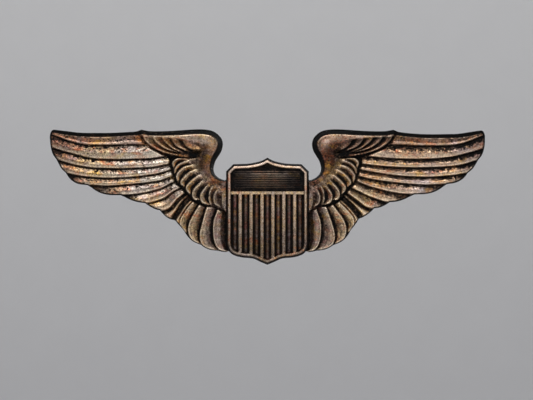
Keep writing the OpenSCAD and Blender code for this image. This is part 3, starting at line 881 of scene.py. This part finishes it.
def backHollow(step=0.4):
    # the back is hollowed a little where the front stands high, but not round the pads
    gx, gz = np.meshgrid(np.arange(0, 40.2, step), np.arange(-10.8, 12.8, step), indexing="ij")
    grid = np.column_stack([gx.ravel(), gz.ravel()])
    raised = np.where(signedDistance(grid, outline) > 0, wingForm(grid).h, 1.0).reshape(gx.shape)
    soft = blurred(raised, (step, step), 0.7)

    def depth(p):
        x, z = np.abs(p[:, 0]), p[:, 1]
        u = np.clip(x / step, 0, gx.shape[0] - 1.001)
        v = np.clip((z - gz[0, 0]) / step, 0, gx.shape[1] - 1.001)
        i, j = u.astype(int), v.astype(int)
        a, b = u - i, v - j
        standing = ((1 - a) * (1 - b) * soft[i, j] + a * (1 - b) * soft[i + 1, j]
                    + (1 - a) * b * soft[i, j + 1] + a * b * soft[i + 1, j + 1])
        fromPad = np.hypot(x - pads["place"][0], z - pads["place"][1])
        return 0.28 * np.clip(standing - 1.5, 0, 1) * ease((fromPad - 2.8) / 1.2)

    return depth


def makeWings():
    xs = np.arange(0, 40.2, wing["cell"])
    zs = np.arange(-10.6, 12.8, wing["cell"])
    points, faces = cellMesh(xs, zs, lambda p: signedDistance(p, outline))
    form = wingForm(points)
    both, allFaces, twice = mirrored(points, faces)
    right = both[:, 0] >= 0
    both[right] = moved(both[right], 1)
    both[~right] = moved(both[~right] * [-1, 1], -1) * [-1, 1]
    both[:, 0] = np.clip(both[:, 0], -wing["reach"], wing["reach"])
    piece, feet = struckPiece("wings_struck", both, allFaces, twice(form.h), 0.0, 0.5, backHollow())
    spots = among(form.zone, "flight", "slat") * (0.75 + 0.25 * np.clip(form.across / 0.4, 0, 1))
    sheen = ease((13.5 - form.x) / 4) * ease((-0.5 - form.z) / 2)
    addAttribute(piece, "oxide", twice(*wingToning(form)), feet, 0.45)
    addAttribute(piece, "spots", twice(spots * 0.6, spots))
    addAttribute(piece, "grit", np.ones(len(both)))
    addAttribute(piece, "sheen", twice(sheen))
    addAttribute(piece, "polish", twice(form.polish))
    addAttribute(piece, "front", np.ones(len(both)), feet, 1)
    addTint(piece, "tint", twice(wingTint(form, 1), wingTint(form, -1)))
    piece.data.shade_smooth()
    piece.data.set_sharp_from_angle(angle=math.radians(80))
    return piece


wings = makeWings()
print("wings", len(wings.data.polygons), "faces")
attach(wings, "badge")
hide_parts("wings")


def fromPad(s):
    # distance from the middle of the nearer pad, seen from the front or the back
    x, _, z = s.place()
    px, pz = pads["place"]
    return ((x.maths("ABSOLUTE") - px * mm) ** 2 + (z - pz * mm) ** 2) ** 0.5


def tonedSilver(name, black):
    # silver under a black and brown toning, worn off the ridges; the back is duller
    s = Shader(name)
    oxide, polish, front = s.attribute("oxide"), s.attribute("polish"), s.attribute("front")
    spots, sheen, grit = s.attribute("spots"), s.attribute("sheen"), s.attribute("grit")
    tint = s.attribute("tint", colour=True)
    patch = s.noise(260, 4, 0.6)
    blotch = s.noise(900, 4, 0.7)
    speck = s.noise(3000, 3, 0.75)
    grain = s.noise(7000, 2, 0.6)
    dots = s.noise(2500, 3, 0.6, (0.7, 1, 1)).between(0.55, 0.63)
    dots *= s.noise(330, 3, 0.6).between(0.4, 0.56)
    # how much toning there is, roughened by noise
    level = (oxide + ((patch - 0.5) * 0.6 + (blotch - 0.5) * 1.5 + (speck - 0.5) * 2.4) * grit
             + dots * spots * 0.85 - polish * 0.35)
    brown = level.between(0.0, 0.7)
    dark = level.between(0.5, 1.0)
    # thin toning shows as gold, copper, plum and white patches
    hue = s.noise(420, 2, 0.5, (0.5, 1, 1)).sharpened(6, 2.5)
    kind = s.noise(650, 2, 0.5, (0.6, 1, 1)).sharpened(6, 2.5)
    where = s.noise(1100, 3, 0.6, (0.6, 1, 1)).sharpened(6, 2.5) * 0.82
    warm = s.mix(hue, tone(250, 208, 96), tone(232, 124, 70))
    cool = s.mix(blotch.sharpened(5, 2), tone(136, 106, 122), tone(255, 248, 248))
    colour = s.mix(where, tint, s.mix(0.6, s.mix(kind, warm, cool), tint, "MULTIPLY"))
    colour = s.mix(speck.sharpened(4, 2) * 0.5, colour, tone(246, 236, 222))
    pink = s.mix(s.noise(620, 2).sharpened(7, 3), tone(190, 96, 100), tone(96, 130, 104))
    colour = s.mix(sheen * s.noise(1000, 3).sharpened(6, 2.7) * 0.6, colour, pink)
    colour = s.mix(brown * 0.82, colour, tone(84, 64, 52))
    # fine grit and streaks, then rubbed rims, then the black
    colour = s.mix(grain.sharpened(4, 1.6) * 0.5 * grit, colour, tone(44, 34, 28))
    mottle = s.mix(s.noise(2400, 4, 0.8).sharpened(7, 3), tone(118, 98, 88), tone(255, 254, 250))
    colour = s.mix(0.62 * grit, colour, mottle, "MULTIPLY")
    streak = s.noise(2600, 3, 0.6, (0.16, 1, 1)).sharpened(7, 3.6)
    colour = s.mix(0.5 * grit * streak, colour, tone(58, 44, 38))
    colour = s.mix(polish * 0.75 * speck.sharpened(4, 1.2), colour, tone(250, 228, 200))
    colour = s.mix(dark, colour, tone(*black))
    back = s.mix(patch.sharpened(4, 1.5) * 0.6, tone(150, 138, 122), tone(112, 92, 74))
    back = s.mix((1 - fromPad(s).between(3.0 * mm, 6.5 * mm)) * 0.55, back, tone(84, 72, 76))
    back = s.mix(blotch.sharpened(5, 2.6) * 0.5, back, tone(186, 172, 152))
    back = s.mix(streak * 0.35, back, tone(60, 50, 44))
    return s.finish(Base_Color=s.mix(front, back, colour), Metallic=0.97 - dark * 0.9,
                    Roughness=0.3 + dark * 0.5 + (speck - 0.5) * 0.35,
                    Normal=s.bump(0.5, 0.00006, blotch + speck * 0.7 + grain * 0.3),
                    Specular_IOR_Level=0.12)


wings.data.materials.append(tonedSilver("toned_silver", (7, 6, 6)))


# the shield

shield = dict(
    half=[(0, 7.1), (0.8, 6.65), (1.8, 6.3), (3.6, 6.0), (6.2, 5.9), (7.5, 4.6), (7.5, -8.5),
          (7.2, -9.6), (6.3, -10.5), (4.7, -11.0), (2.7, -11.2), (1.3, -11.8), (0, -12.35)],
    cell=0.1,            # size of the mesh cells on the face
    back=1.3,            # height of its back above the back of the wings
    edge=2.5,            # and of the foot of the sloping side
    side=0.38,           # width of that slope
    rim=3.9,
    rimWidth=0.5,
    field=3.1,
    band=(0.4, 1.0),     # the cross bar
    bars=[0.98, 2.95, 4.92],
    barWidth=0.66,
    flank=0.06,          # how far a bar's side slopes, in and out from its edge
    lines=[4.55, 4.14, 3.73, 3.32, 2.91, 2.5, 2.09, 1.68],
)

shieldTones = dict(
    field=(232, 196, 170),
    bars=((232, 190, 122), (206, 172, 160)),      # from their sides to their middles
    strips=((158, 122, 112), (70, 68, 70)),       # from the top down
    chief=((122, 128, 140), (156, 148, 132)),     # from the sides to the middle
    rim=(236, 202, 180),
)


def shieldForm(points, outer):
    x, z = np.abs(points[:, 0]), points[:, 1]
    d = signedDistance(np.column_stack([x, z]), outer)
    side, flank, rimWidth = shield["side"], shield["flank"], shield["rimWidth"]
    inner = d - side - rimWidth                        # beyond zero lies the field
    lo, hi = shield["band"]
    low, chief = z < lo, z > hi
    # upright bars with low domed strips between them
    pitch = 2 * shield["bars"][0]
    strip = np.abs((x + pitch / 2) % pitch - pitch / 2)     # distance from a strip's middle
    domed = np.clip(1 - (strip / 0.4) ** 2, 0, 1)
    field = np.where(low, shield["field"] - 0.12 + 0.2 * domed**0.6, shield["field"])
    dark = np.where(low, 1.15 - 0.8 * ease(domed / 0.4), 1.0)
    half = shield["barWidth"] / 2
    bar = np.min([np.abs(x - b) for b in shield["bars"]], axis=0)
    rise = np.where(low, ease((half + flank - bar) / (2 * flank)), 0)
    # the cross bar
    beyond = np.abs(z - (lo + hi) / 2) - (hi - lo) / 2
    rise = np.maximum(rise, ease((flank - beyond) / (2 * flank)))
    # fine raised lines above it, rubbed bright in the middle
    line = np.min([np.abs(z - v) for v in shield["lines"]], axis=0)
    fine = bell(line, 0, 0.08) * chief * ease((6.1 - x) / 0.3)
    middle = np.exp(-(x / 3.8) ** 4 - ((z - 3.0) / 1.5) ** 2)
    field = np.where(chief, shield["field"] - 0.08 + 0.17 * fine, field)
    dark = np.where(chief, 0.95 - 0.6 * fine * (0.4 + 0.6 * middle), dark)
    bright = np.where(chief, 0.55 * fine * middle, 0)
    top = shield["rim"] - 0.22 - 0.04 * np.minimum(bar / half, 1) ** 2
    h = field + (top - field) * rise
    dark = dark * (1 - rise) + 0.1 * rise
    bright = np.maximum(bright * (1 - rise), 0.55 * rise)
    # the rim, with a groove inside it
    onRim = ease(-inner / 0.14 + 0.5)
    u = np.clip((d - side - rimWidth / 2) / (rimWidth / 2), -1, 1)
    h = h * (1 - onRim) + (shield["rim"] - 0.1 * u**2) * onRim
    dark = dark * (1 - onRim) + 0.08 * onRim
    bright = np.maximum(bright * (1 - onRim), 0.75 * onRim * (1 - u**2))
    dark = np.maximum(dark, 1.1 * bell(inner, 0.14, 0.1) * (1 - rise))
    # the sloping side
    ramp = np.clip(d / side, 0, 1)
    h = np.where(d < side, shield["edge"] + (h - shield["edge"]) * ramp**0.9, h)
    # the sloping side is painted near black: oxide, and a painted shade of the steep side
    above = ease((d - side * 0.8) / 0.12)
    dark = np.maximum(dark, 1.2 * (1 - above))
    return h, dark, bright * above, low & (rise < 0.5) & (inner > 0), rise


def gridLines(start, stop, cell, edges):
    # an even grid with extra lines close to the edges of the bars
    lines = list(np.arange(start, stop, cell))
    for e in edges:
        lines = [v for v in lines if abs(v - e) > cell * 0.45] + [e]
    return np.array(sorted(lines))


def makeShield():
    half, cell, flanks = shield["half"], shield["cell"], (-shield["flank"], shield["flank"])
    outer = np.vstack([spline(half[:5], 4)[:-1], spline(half[4:6], 1)[:-1], spline(half[5:7], 1)[:-1],
                       spline(half[6:], 4), [(-8, -12.35), (-8, 7.1)]])
    sides = [b + s * (shield["barWidth"] / 2 + t)
             for b in shield["bars"] for s in (-1, 1) for t in flanks]
    xs = gridLines(0, 7.8, cell, sides)
    zs = gridLines(-12.6, 7.3, cell, [v + t for v in shield["band"] for t in flanks])
    points, faces = cellMesh(xs, zs, lambda p: signedDistance(p, outer))
    x, z = points.T
    h, dark, bright, strip, rise = shieldForm(points, outer)
    both, allFaces, twice = mirrored(points, faces)
    piece, feet = struckPiece("shield_struck", both, allFaces, twice(h), shield["back"], 1.0,
                              lambda p: np.zeros(len(p)))
    addAttribute(piece, "oxide", twice(dark), feet, 0.45)
    # the polish fades towards the bottom
    addAttribute(piece, "polish", twice(bright * (1 - 0.65 * ease(-z / 10))))
    addAttribute(piece, "front", np.ones(len(both)), feet, 1)
    colour = np.tile(tone(*shieldTones["field"]), (len(points), 1))
    onBar = rise > 0.5
    fromBar = np.min([np.abs(x - v) for v in shield["bars"]], axis=0) / (shield["barWidth"] / 2)
    colour[onBar] = mixed(shieldTones["bars"], np.clip(1 - fromBar, 0, 1) ** 0.7)[onBar]
    # strips, rim and bars darker towards the bottom
    lower = ease((0 - z) / 10)
    colour[strip] = mixed(shieldTones["strips"], lower)[strip]
    chief = z > shield["band"][1] + 0.1
    colour[chief] = mixed(shieldTones["chief"], bell(x, 0, 3))[chief]
    onRim = (h > shield["rim"] - 0.15) & (rise < 0.5)
    colour[onRim] = tone(*shieldTones["rim"])
    raised = onRim | onBar
    colour[raised] *= (1 - 0.74 * lower[:, None])[raised]
    addAttribute(piece, "spots", np.zeros(len(both)))
    addAttribute(piece, "grit", twice(np.where(chief, 0.35, np.where(raised, 1.15, 0.8))))
    addAttribute(piece, "sheen", twice(0.9 * strip * (1 - 0.8 * lower)))
    addTint(piece, "tint", twice(colour))
    piece.data.shade_smooth()
    piece.data.set_sharp_from_angle(angle=math.radians(75))
    return piece


shieldPiece = makeShield()
print("shield", len(shieldPiece.data.polygons), "faces")
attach(shieldPiece, "badge")
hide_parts("shield")
shieldPiece.data.materials.append(tonedSilver("shield_silver", (9, 9, 10)))


# the fittings on the back: the pin, its hinge and its catch

fittings = dict(
    solderWidth=0.75,        # how far the solder runs out from a pad
    solderHeight=0.34,
    rounding=0.05,           # radius of the edges
)


def addSolder(name, side):
    # a slightly lumpy fillet where a pad is soldered down
    px, pz = pads["place"]
    around, steps, sunk, foot = 144, 9, -0.2, 0.02
    rng = np.random.default_rng(11 if side < 0 else 23)
    angles = np.arange(around) / around * 2 * math.pi
    lumps = sum(a * np.cos(k * angles + p) for k, a, p in
                zip((2, 3, 5, 8, 13), (0.10, 0.09, 0.06, 0.04, 0.025), rng.uniform(0, 6.28, 5)))
    inner = pads["radius"] - 0.12
    verts, faces = [], []
    for angle, lump in zip(angles, lumps):
        reach = fittings["solderWidth"] * (1 + 1.3 * lump)
        tall = fittings["solderHeight"] * (1 + 0.9 * lump)
        section = [(inner, sunk), (inner, tall)]
        for t in np.linspace(0, 1, steps):
            section.append((pads["radius"] + reach * t, foot + (tall - foot) * (1 - t) ** 2.1))
        section.append((pads["radius"] + reach + 0.02, sunk))
        for r, y in section:
            verts.append((side * px + r * math.cos(angle), y, pz + r * math.sin(angle)))
    count = len(section)
    for i in range(around):
        j = (i + 1) % around
        for k in range(count):
            m = (k + 1) % count
            faces.append((i * count + k, i * count + m, j * count + m, j * count + k))
    mesh = bpy.data.meshes.new(name)
    mesh.from_pydata((np.array(verts) * mm).tolist(), [], faces)
    mesh.validate()
    mesh.shade_smooth()
    piece = bpy.data.objects.new(name, mesh)
    bpy.context.scene.collection.objects.link(piece)
    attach(piece, "badge")
    return piece


def solder():
    # dull grey, browned in patches
    s = Shader("solder")
    lump = s.noise(700, 4, 0.6)
    speck = s.noise(3600, 3, 0.7)
    colour = s.mix(lump.sharpened(4, 1.5), tone(120, 112, 104), tone(176, 172, 166))
    colour = s.mix(s.noise(300, 3).sharpened(5, 2.4) * 0.6, colour, tone(98, 74, 54))
    colour = s.mix(speck.sharpened(5, 2.8) * 0.5, colour, tone(70, 62, 56))
    return s.finish(Base_Color=colour, Metallic=0.9, Roughness=0.4 + speck * 0.2,
                    Normal=s.bump(0.5, 0.0001, lump + speck * 0.2))


def padMetal():
    # turned discs, toned brown towards the rim
    s = Shader("pad_metal")
    out = fromPad(s)
    patch = s.noise(420, 4, 0.6)
    speck = s.noise(3800, 3, 0.7)
    rings = (out * 46000 + patch * 3).maths("SINE") * 0.5 + 0.5
    colour = s.mix(patch.sharpened(4, 1.5), tone(150, 140, 126), tone(188, 182, 172))
    colour = s.mix(out.between(1.9 * mm, 2.75 * mm) * 0.65, colour, tone(96, 80, 66))
    colour = s.mix(speck.sharpened(5, 2.7) * 0.45, colour, tone(72, 62, 54))
    return s.finish(Base_Color=colour, Metallic=0.95, Roughness=0.3 + patch * 0.12 + rings * 0.06,
                    Normal=s.bump(0.35, 0.00004, rings * 0.6 + speck))


def fittingMetal():
    # stamped nickel silver: fine scratches, dull yellowish patches, dark specks
    s = Shader("fitting_metal")
    patch = s.noise(520, 4, 0.6)
    scratch = s.noise(3200, 3, 0.6, (0.12, 1, 1))
    cross = s.noise(2600, 3, 0.6, (1, 1, 0.14))
    speck = s.noise(4200, 3, 0.7)
    colour = s.mix(patch.sharpened(4, 1.5), tone(158, 150, 134), tone(202, 198, 188))
    colour = s.mix(scratch.sharpened(6, 3.3) * 0.5, colour, tone(228, 226, 220))
    colour = s.mix(cross.sharpened(6, 3.4) * 0.5, colour, tone(96, 88, 76))
    colour = s.mix(speck.sharpened(6, 3.4) * 0.5, colour, tone(66, 58, 50))
    rough = 0.24 + patch * 0.14 + (scratch - 0.5) * 0.3
    return s.finish(Base_Color=colour, Metallic=1.0, Roughness=rough,
                    Normal=s.bump(0.35, 0.00004, scratch + cross * 0.7 + speck * 0.3))


def pinWire():
    # drawn wire: streaks along it, toned by the hinge
    s = Shader("pin_wire")
    along = s.place()[0] + pads["place"][0] * mm
    draw = s.noise(5200, 3, 0.6, (0.03, 1, 1))
    patch = s.noise(380, 3, 0.6)
    colour = s.mix(patch.sharpened(4, 1.5), tone(186, 184, 180), tone(214, 213, 210))
    colour = s.mix((1 - along.between(1.5 * mm, 6 * mm)) * 0.5, colour, tone(150, 132, 108))
    colour = s.mix(draw.sharpened(6, 3.3) * 0.5, colour, tone(104, 100, 94))
    rough = 0.16 + (draw - 0.5) * 0.25 + patch * 0.06
    return s.finish(Base_Color=colour, Metallic=1.0, Roughness=rough, Normal=s.bump(0.3, 0.00003, draw))


def dress(node, finish, rounding):
    # the node keeps its own mesh: new finish, edges rounded by modifiers
    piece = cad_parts[node]
    piece.data.materials.clear()
    piece.data.materials.append(finish)
    if rounding:
        piece.modifiers.new("weld", "WELD").merge_threshold = 0.002 * mm
        bevel = piece.modifiers.new("edges", "BEVEL")
        bevel.width = rounding * mm
        bevel.segments = 2
        bevel.limit_method = "ANGLE"
        bevel.angle_limit = math.radians(38)
        bevel.use_clamp_overlap = True
        piece.modifiers.new("normals", "WEIGHTED_NORMAL").keep_sharp = True


padFinish, fittingFinish, wireFinish = padMetal(), fittingMetal(), pinWire()
for node, finish, rounding in (("hinge_pad", padFinish, 1), ("catch_pad", padFinish, 1),
                               ("hinge_bracket", fittingFinish, 1), ("hinge_rivet", fittingFinish, 1),
                               ("catch_body", fittingFinish, 1), ("catch_rotor", fittingFinish, 1),
                               ("pin_stem", wireFinish, 0.5), ("wings", wings.data.materials[0], 0),
                               ("shield", shieldPiece.data.materials[0], 0)):
    dress(node, finish, rounding * fittings["rounding"])
print("fittings dressed")

solderFinish = solder()
for name, side in (("hinge_solder", -1), ("catch_solder", 1)):
    addSolder(name, side).data.materials.append(solderFinish)
print("pads soldered")


# stage, light and camera, in metres

cove = dict(
    width=1.6,           # to each side
    front=-0.6,
    floor=-0.35,
    back=0.45,
    bend=0.2,            # radius between floor and back
    top=1.0,
)

# name, place, aim, size and radiance of each light
lights = [
    ("top", (-0.08, -0.42, 0.46), (0, 0, 0), (0.55, 0.28), 3.6),
    ("front", (0.05, -0.85, 0.12), (0, 0, 0), (0.5, 0.4), 0.9),
    ("left", (-0.6, -0.35, 0.1), (0, 0, 0), (0.25, 0.5), 1.0),
    ("right", (0.6, -0.35, 0.1), (0, 0, 0), (0.25, 0.5), 1.0),
    ("low", (0, -0.55, -0.27), (0, 0, 0), (0.6, 0.2), 1.9),
    ("behind", (0.1, 0.4, 0.12), (0.1, 0, 0.12), (0.5, 0.25), 2.2),
]

view = dict(
    lens=100,
    sensor=36,
    width=96.85 * mm,                  # of the picture, where the face lies
    middle=(-0.17 * mm, -0.59 * mm),   # of the picture, across and up
    face=-2 * mm,                      # y of the face
)


def addStage():
    mesh = bpy.data.meshes.new("backdrop")
    w, floor, back, bend = cove["width"], cove["floor"], cove["back"], cove["bend"]
    section = [(cove["front"], floor)]
    for a in np.linspace(0, math.pi / 2, 12):
        section.append((back - bend + bend * math.sin(a), floor + bend - bend * math.cos(a)))
    section.append((back, cove["top"]))
    verts = [(x, y, z) for y, z in section for x in (-w, w)]
    faces = [(2 * i, 2 * i + 1, 2 * i + 3, 2 * i + 2) for i in range(len(section) - 1)]
    mesh.from_pydata(verts, [], faces)
    piece = bpy.data.objects.new("backdrop", mesh)
    bpy.context.scene.collection.objects.link(piece)
    # paper, painted a little darker at the foot: a painted shade standing in for the lamps' fall-off
    s = Shader("paper")
    grain = s.noise(60, 4)
    shade = (s.place()[2] * 5 + 0.45 + (grain - 0.5) * 0.2).clip()
    colour = s.mix(shade, tone(218, 218, 220), tone(243, 243, 244))
    piece.data.materials.append(s.finish(Base_Color=colour, Roughness=0.95))


def areaLight(name, place, aim, size, radiance):
    light = bpy.data.lights.new(name, "AREA")
    light.shape = "RECTANGLE"
    light.size, light.size_y = size
    light.energy = radiance * math.pi * size[0] * size[1]
    lamp = bpy.data.objects.new(name, light)
    lamp.location = place
    lamp.visible_camera = False
    lamp.rotation_euler = (Vector(aim) - Vector(place)).to_track_quat("-Z", "Y").to_euler()
    bpy.context.scene.collection.objects.link(lamp)


addStage()
for light in lights:
    areaLight(*light)
world = bpy.data.worlds.new("studio")
bpy.context.scene.world = world
world.use_nodes = True
world.node_tree.nodes["Background"].inputs[0].default_value = (0.16, 0.16, 0.163, 1)
world.node_tree.nodes["Background"].inputs[1].default_value = 1.0
print("stage and", len(lights), "lights")

camera = bpy.data.cameras.new("camera")
camera.lens = view["lens"]
camera.sensor_width = view["sensor"]
camera.clip_start = 0.01
eye = bpy.data.objects.new("camera", camera)
across, up = view["middle"]
eye.location = (across, view["face"] - view["width"] * camera.lens / camera.sensor_width, up)
eye.rotation_euler = (math.pi / 2, 0, 0)
bpy.context.scene.collection.objects.link(eye)
bpy.context.scene.camera = eye
bpy.context.scene.view_settings.view_transform = "Standard"
print("camera")
